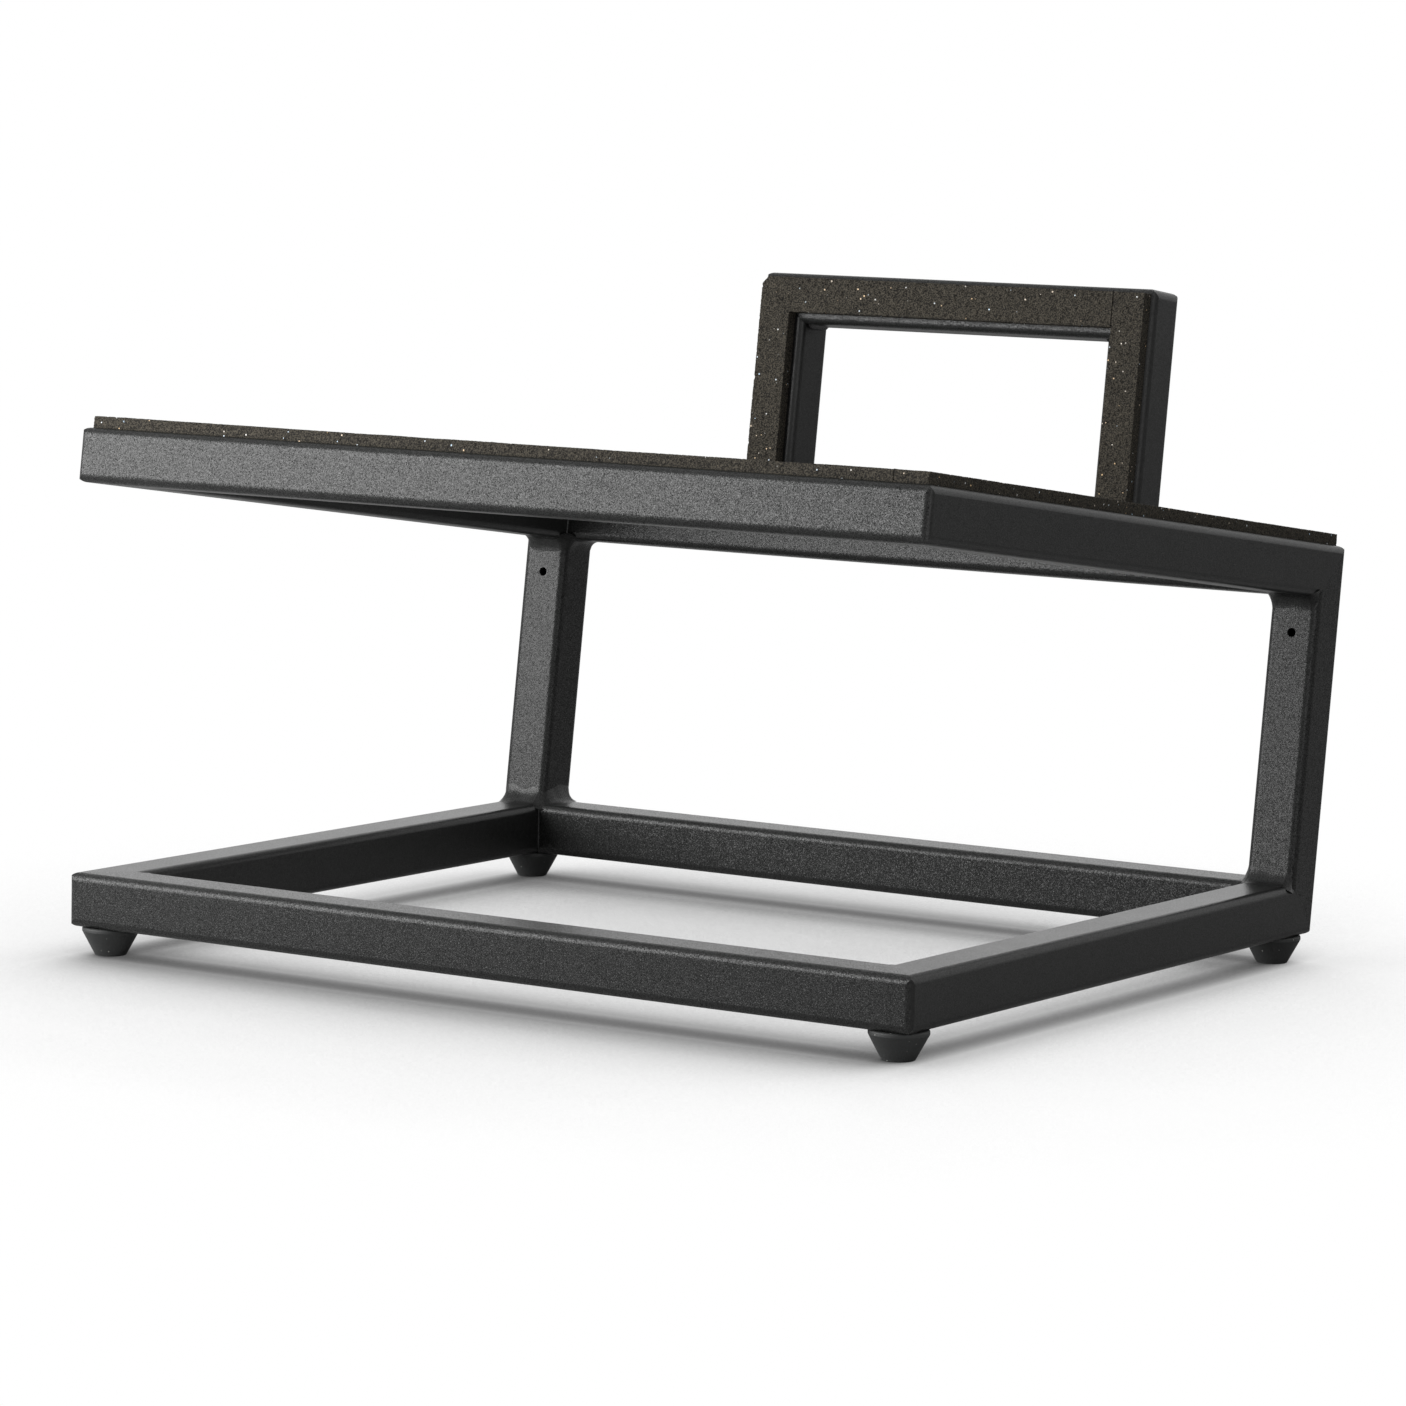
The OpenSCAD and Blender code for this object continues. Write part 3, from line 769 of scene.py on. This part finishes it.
def ripples(gone, line, belly, seed):
    """Ripples from 0 to 1 along a weld, which bow forward in its middle."""
    wander = RIPPLE_WANDER * value_noise(line, RIPPLE_WANDER_LENGTH, seed)
    phase = (gone + RIPPLE_BOW * belly) / RIPPLE_PITCH + wander
    return np.abs(np.sin(math.pi * phase))


def bead(stations, other, legs, seed, hollow=BEAD_HOLLOW):
    """Points and faces of one fillet weld along a corner line.
    A station is a point, the way along the first surface, and how far the toe there dips;
    other is the way along the second surface, and legs are the reaches along the two."""
    marks = np.array([list(point) + list(way) + [dip] for point, way, dip in stations])
    gone, at, line = walk(marks, marks[:, :3])
    root, way, dip = at[:, :3], at[:, 3:6], at[:, 6:]
    way = way / np.linalg.norm(way, axis=1)[:, None]
    other = np.array(other)
    taper = end_taper(gone, BEAD_END, BEAD_END_SHARE)
    leg_a, leg_b = (
        (leg * taper * (1 + BEAD_WANDER * value_noise(line, BEAD_WANDER_LENGTH, seed + k)))[:, None]
        for k, leg in enumerate(legs)
    )
    outward = way + other
    outward = outward / np.linalg.norm(outward, axis=1)[:, None]
    rings = []
    for k in range(BEAD_POINTS):
        t = k / (BEAD_POINTS - 1)
        belly = 4 * t * (1 - t)
        ripple = RIPPLE_HEIGHT * belly * taper * ripples(gone, line, belly, seed + 7)
        ring = root + way * leg_a * (1 - t) ** hollow + other * leg_b * t ** hollow
        ring = ring + outward * ripple[:, None] - other * dip * (1 - t) ** 2
        if k == 0:
            ring = ring - other * TOE_SINK
        if k == BEAD_POINTS - 1:
            ring = ring - way * TOE_SINK
        rings.append(ring)
    rings.append(root - (way + other) * ROOT_SINK - other * dip)
    return skin(rings)


def seam(stations, seed):
    """Points and faces of one weld that fills an outer groove, dressed nearly flush.
    A station is the two toes and the way out of the surface there."""
    marks = np.array([list(a) + list(b) + list(out) for a, b, out in stations])
    gone, at, line = walk(marks, (marks[:, :3] + marks[:, 3:6]) / 2)
    a, b, out = at[:, :3], at[:, 3:6], at[:, 6:]
    out = out / np.linalg.norm(out, axis=1)[:, None]
    taper = end_taper(gone, SEAM_END, SEAM_END_SHARE)
    spread = taper * (1 + BEAD_WANDER * value_noise(line, BEAD_WANDER_LENGTH, seed))
    centre = (a + b) / 2
    half = (b - a) / 2 * spread[:, None]
    rings = []
    for k in range(BEAD_POINTS):
        t = k / (BEAD_POINTS - 1)
        belly = 4 * t * (1 - t)
        height = belly * taper * (SEAM_CROWN + SEAM_RIPPLE * ripples(gone, line, belly, seed + 7))
        height -= (1 - belly) * TOE_SINK
        rings.append(centre + half * (2 * t - 1) + out * height[:, None])
    rings.append(a * (1 - SEAM_ROOT_SHARE) + b * SEAM_ROOT_SHARE - out * SEAM_ROOT)
    return skin(rings)


def skin(rings):
    """Closed skin over lines of points that run side by side along a weld."""
    width = len(rings)
    count = len(rings[0])
    points = np.stack(rings, axis=1).reshape(-1, 3)
    faces = [tuple(range(width)), tuple(reversed(range((count - 1) * width, count * width)))]
    for i in range(count - 1):
        for k in range(width):
            a, b = i * width + k, i * width + (k + 1) % width
            faces.append((a, a + width, b + width, b))
    return points, faces


def weld_piece(node_name, beads, look):
    """All beads of one CAD weld node as one mesh that stands for it."""
    points, faces = [], []
    for bead_points, bead_faces in beads:
        start = len(points)
        points.extend(bead_points)
        faces.extend(tuple(start + i for i in face) for face in bead_faces)
    made = add_mesh(node_name + "_beads", points, faces, look)
    shell = bmesh.new()
    shell.from_mesh(made.data)
    bmesh.ops.recalc_face_normals(shell, faces=shell.faces)
    shell.to_mesh(made.data)
    shell.free()
    sharpen(made, WELD_CRISP_DEGREES)
    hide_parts(node_name)
    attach(made, "root")


def straight(start, stop, way):
    """Stations of a straight bead between two points."""
    return [(start, way, 0.0), (stop, way, 0.0)]


def ring_corners(front, rear, top, back, up, front_leg, seed):
    """Upright beads in the four inner corners of a ring of tubes, whose upper face is at top."""
    low_end = up * (top - TUBE + RING_LOW_END)
    top_end = up * (top - RING_TOP_END)
    beads = []
    for side in (-1, 1):
        x = X_AXIS * side * (HALF_W - TUBE)
        for place, way, leg in ((front + TUBE, back, front_leg), (rear - TUBE, -back, REAR_LEG)):
            seed += 1
            corner = x + back * place
            stations = straight(corner + low_end, corner + top_end, way)
            beads.append(bead(stations, -side * X_AXIS, (leg, leg), seed))
    return beads


def round_upright(side, front, forward, into_rail, wrap):
    """Corner line round an upright: from its outer edge along its front, then back along its inner side.
    It starts wrap degrees round the outer edge."""
    out = side * X_AXIS
    r = TUBE_EDGE_R
    stations = []
    for i in range(ARC_STEPS, -1, -1):
        turn = math.radians(wrap) * i / ARC_STEPS
        away = forward * math.cos(turn) + out * math.sin(turn)
        point = front + out * (HALF_W - r) + (away - forward) * r + into_rail * r * (1 - math.cos(turn))
        stations.append((point, away, OUTER_DIP * math.sin(turn)))
    for i in range(ARC_STEPS + 1):
        turn = math.pi / 2 * i / ARC_STEPS
        away = forward * math.cos(turn) - out * math.sin(turn)
        point = front + out * (HALF_W - TUBE + r) + (away - forward) * r
        stations.append((point, away, INNER_DIP * math.sin(2 * turn)))
    stations.append((front + out * (HALF_W - TUBE) - forward * (TUBE - UPRIGHT_STOP), -out, 0.0))
    return stations


def round_tube(back, up, rear, top):
    """Points and ways out round a tube's section, over its rear face and the face towards up.
    With each goes a number that is 1 in the middle of the edge between the two faces."""
    start, stop = -SEAM_RUN_OUT, 90 + SEAM_RUN_OUT
    path = []
    r = TUBE_EDGE_R
    for quarter, depth, height in ((-1, rear - r, top - TUBE + r), (0, rear - r, top - r),
                                   (1, rear - TUBE + r, top - r)):
        first, last = max(start, 90 * quarter), min(stop, 90 * quarter + 90)
        for degrees in range(first, last + 1, SEAM_TURN_STEP):
            turn = math.radians(degrees)
            out = back * math.cos(turn) + up * math.sin(turn)
            edge = max(0.0, math.sin(2 * turn))
            path.append((back * depth + up * height + out * r, out, edge))
    return path


def groove_stations(side, path, lean_from=None, lean=0.0):
    """Toes of a weld round the end of a rear rail, on the rail and on the rounded edge of the side frame.
    Where the side frame leans back from the rail's rear face, its toe goes with it."""
    out_x = side * X_AXIS
    stations = []
    for point, out, edge in path:
        step = 0.0
        if lean_from is not None:
            step = max(0.0, out.y) * max(0.0, point.z - lean_from) * math.tan(lean)
        a = point + out_x * (HALF_W - TUBE - SEAM_LAP - step / 2)
        b = point + out_x * (HALF_W - TUBE + SEAM_OVER) + out * (step - edge * SEAM_CORNER_SINK)
        stations.append((a, b, out))
    return stations


def base_beads():
    """Welds of the base ring, and those round the feet of the uprights."""
    lean = math.atan2(PLATFORM_UP.y, PLATFORM_UP.z)
    # Where the front of an upright meets the top of the base
    foot_y = BASE_REAR + TUBE * ((1 - math.sin(lean)) * math.tan(lean) - math.cos(lean))
    foot_line = Y_AXIS * foot_y + Z_AXIS * BASE_TOP
    path = round_tube(Y_AXIS, -Z_AXIS, BASE_REAR, -BASE_LOW)
    beads = ring_corners(BASE_FRONT, BASE_REAR, BASE_TOP, Y_AXIS, Z_AXIS, BASE_FRONT_LEG, BASE_SEED)
    for side, legs, wrap, seed in UPRIGHT_FEET:
        stations = round_upright(side, foot_line, -Y_AXIS, -Z_AXIS, wrap)
        beads.append(bead(stations, PLATFORM_UP, legs, seed, UPRIGHT_HOLLOW))
        beads.append(seam(groove_stations(side, path, BASE_LOW, lean), seed + SEAM_SEED))
    return beads


def upright_beads():
    """Welds round the heads of the uprights, under the platform."""
    up, back = PLATFORM_UP, PLATFORM_BACK
    head_line = back * (PLATFORM_REAR - TUBE) + up * (PLATFORM_TOP - TUBE)
    beads = []
    for side, legs, wrap, seed in UPRIGHT_HEADS:
        stations = round_upright(side, head_line, -back, up, wrap)
        beads.append(bead(stations, -up, legs, seed, UPRIGHT_HOLLOW))
    return beads


def platform_beads():
    """Welds of the platform ring."""
    up, back = PLATFORM_UP, PLATFORM_BACK
    path = round_tube(back, up, PLATFORM_REAR, PLATFORM_TOP)
    beads = ring_corners(
        PLATFORM_FRONT, PLATFORM_REAR, PLATFORM_TOP, back, up, PLATFORM_FRONT_LEG, PLATFORM_SEED)
    for side in (-1, 1):
        beads.append(seam(groove_stations(side, path), PLATFORM_SEED + SEAM_SEED + side))
    return beads


def hoop_beads():
    """Welds in the hoop's inner corners, and those that hold its legs to the platform."""
    up, back = PLATFORM_UP, PLATFORM_BACK
    beads = []
    for side in (-1, 1):
        out = X_AXIS * side
        inner = out * (HOOP_HALF_W - TUBE)
        outer = out * HOOP_HALF_W
        corner = inner + up * (HOOP_TOP - TUBE)
        front_end = corner + back * (PLATFORM_REAR + HOOP_CORNER_END)
        rear_end = corner + back * (PLATFORM_REAR + TUBE - HOOP_CORNER_END)
        stations = straight(front_end, rear_end, -out)
        beads.append(bead(stations, -up, (HOOP_CORNER_LEG, HOOP_CORNER_LEG), HOOP_CORNER_SEED + side))
        for line, way in ((outer, out), (inner, -out)):
            start = line + back * PLATFORM_REAR
            low_end = start + up * (HOOP_LEG_LOW + HOOP_SIDE_LOW_END)
            top_end = start + up * (PLATFORM_TOP - HOOP_SIDE_TOP_END)
            stations = straight(low_end, top_end, way)
            beads.append(bead(stations, back, HOOP_SIDE_LEGS, HOOP_SIDE_SEED + side))
    return beads


def make_welds(look):
    """All welds, each CAD node of them as one piece."""
    weld_piece("base_welds", base_beads(), look)
    weld_piece("upright_welds", upright_beads(), look)
    weld_piece("platform_welds", platform_beads(), look)
    weld_piece("hoop_welds", hoop_beads(), look)


# Dressing of the CAD nodes

def dress(names, look):
    """Gives CAD nodes their look."""
    for name in names:
        for slot in frame["nodes"][name].material_slots:
            slot.material = look


TUBES = nodes_in("powder_coated_tube")
UPRIGHTS = [name for name in TUBES if name.endswith("_upright")]
SIDE_TUBES = [name for name in TUBES if name.endswith(("_left_rail", "_right_rail", "_leg"))]


# Floor, background and light

FLOOR_COLOUR = (0.80, 0.80, 0.80, 1)
FLOOR_ROUGH = 0.9
# Half the floor's width
FLOOR_HALF = 12.0
WHITE = (1, 1, 1, 1)
# Painted soft shade on the white floor, from ambient occlusion and not from the lamps: the two ways its
# light seems to come from, how near the stand has to be, and how deep the shade is
SHADE_FROM_LEFT = (-0.75, 0.25, 1.0)
SHADE_FROM_RIGHT = (0.65, 0.3, 1.0)
SHADE_REACH = 0.28
SHADE_POWER = 2.5
SHADE_SAMPLES = 12
# Shares of the white floor and background that mirrored rays see
FLOOR_GLOSSY = 0.1
WORLD_GLOSSY = 0.92


def seen_factor(tree, glossy):
    """1 for rays from the camera and through glass, and a share of it for mirrored rays."""
    path = node(tree, "ShaderNodeLightPath")
    mirror = math_node(tree, "MULTIPLY", path.outputs["Is Glossy Ray"], glossy)
    seen = math_node(tree, "ADD", path.outputs["Is Camera Ray"], mirror)
    return math_node(tree, "ADD", seen, path.outputs["Is Transmission Ray"], clamp=True)


def open_share(tree, light_from):
    """Ambient occlusion for the floor's painted shade: 1 where the floor is open to a broad light, and less
    where the stand is near.
    """
    way = dict(zip("XYZ", Vector(light_from).normalized()))
    light_way = node(tree, "ShaderNodeCombineXYZ", **way).outputs[0]
    return node(
        tree, "ShaderNodeAmbientOcclusion", {"samples": SHADE_SAMPLES},
        Distance=SHADE_REACH, Normal=light_way,
    ).outputs["AO"]


def make_floor():
    """Pale floor that is seen as glowing white, with a soft shade round the stand painted into the glow."""
    size = FLOOR_HALF
    corners = [(-size, -size, 0), (size, -size, 0), (size, size, 0), (-size, size, 0)]
    made, tree, shader = material("floor")
    shader.inputs["Base Color"].default_value = FLOOR_COLOUR
    shader.inputs["Roughness"].default_value = FLOOR_ROUGH
    shader.inputs["Specular IOR Level"].default_value = 0.0
    open_sides = [open_share(tree, way) for way in (SHADE_FROM_LEFT, SHADE_FROM_RIGHT)]
    # Painted shadow: the white glow is dimmed where the stand shuts off both broad lights
    painted_shade = math_node(tree, "POWER", math_node(tree, "MAXIMUM", *open_sides), SHADE_POWER)
    white = node(tree, "ShaderNodeEmission", Color=WHITE, Strength=painted_shade).outputs[0]
    mixed = node(tree, "ShaderNodeMixShader")
    put(tree, mixed.inputs[0], seen_factor(tree, FLOOR_GLOSSY))
    put(tree, mixed.inputs[1], shader.outputs[0])
    put(tree, mixed.inputs[2], white)
    under = node(tree, "ShaderNodeMixShader")
    put(tree, under.inputs[0], node(tree, "ShaderNodeNewGeometry").outputs["Backfacing"])
    put(tree, under.inputs[1], mixed.outputs[0])
    put(tree, under.inputs[2], node(tree, "ShaderNodeBsdfTransparent").outputs[0])
    output = next(n for n in tree.nodes if n.type == "OUTPUT_MATERIAL")
    put(tree, output.inputs["Surface"], under.outputs[0])
    floor = add_mesh("floor", corners, [(0, 1, 2, 3)], made, smooth=False)


WORLD_LEVEL = 0.03


def make_world():
    """White where it is seen, and a dim even light on everything else."""
    world = bpy.data.worlds.new("studio")
    world.use_nodes = True
    tree = world.node_tree
    tree.nodes.clear()
    dim = node(tree, "ShaderNodeBackground", Color=WHITE, Strength=WORLD_LEVEL).outputs[0]
    white = node(tree, "ShaderNodeBackground", Color=WHITE, Strength=1.0).outputs[0]
    mixed = node(tree, "ShaderNodeMixShader")
    put(tree, mixed.inputs[0], seen_factor(tree, WORLD_GLOSSY))
    put(tree, mixed.inputs[1], dim)
    put(tree, mixed.inputs[2], white)
    output = node(tree, "ShaderNodeOutputWorld")
    put(tree, output.inputs["Surface"], mixed.outputs[0])
    bpy.context.scene.world = world


# Lights: place, what they point at, width and height, and brightness
SOFTBOX = ((-0.77, -0.92, 0.45), (0, 0, 0.30), (1.0, 0.75), 8.5)
BACK_CARD = ((-1.2, 1.9, 0.55), (0, 0, 0.12), (1.8, 1.1), 0.36)
OVERHEAD = ((0.0, 0.0, 1.6), (0, 0, 0.12), (1.6, 1.6), 0.66)
RIGHT_FILL = ((0.72, -0.38, 0.26), (0, 0, 0.12), (0.4, 0.4), 1.3)


def area_light(name, place, aim, size, radiance, glossy=True):
    """Rectangular soft light; its power follows from its size and its brightness."""
    data = bpy.data.lights.new(name, "AREA")
    data.shape = "RECTANGLE"
    data.size, data.size_y = size
    data.energy = radiance * math.pi * size[0] * size[1]
    made = bpy.data.objects.new(name, data)
    bpy.context.scene.collection.objects.link(made)
    made.location = place
    made.rotation_mode = "QUATERNION"
    made.rotation_quaternion = (Vector(aim) - Vector(place)).to_track_quat("-Z", "Y")
    made.visible_camera = False
    made.visible_glossy = glossy


def make_lights():
    """A large softbox at the front left, and three weaker lights round it."""
    area_light("front_softbox", *SOFTBOX)
    area_light("back_card", *BACK_CARD)
    area_light("overhead", *OVERHEAD, glossy=False)
    area_light("right_fill", *RIGHT_FILL)


make_camera()
dress([name for name in TUBES if name not in UPRIGHTS + SIDE_TUBES], powder_coat())
dress(UPRIGHTS, powder_coat("powder_coat_on_uprights_shaded", UPRIGHT_SMOOTH, UPRIGHT_SHADED_LEVEL))
dress(SIDE_TUBES, powder_coat("powder_coat_on_sides", SIDE_SMOOTH))
make_welds(powder_coat("powder_coat_on_welds", WELD_SMOOTH))
dress(nodes_in("zinc_plated_steel"), zinc_material())
make_foam(foam_material())
rubber = rubber_material()
for foot in nodes_in("foot_rubber"):
    make_foot(foot, rubber)
make_floor()
make_world()
make_lights()
bpy.context.scene.view_settings.view_transform = "Standard"
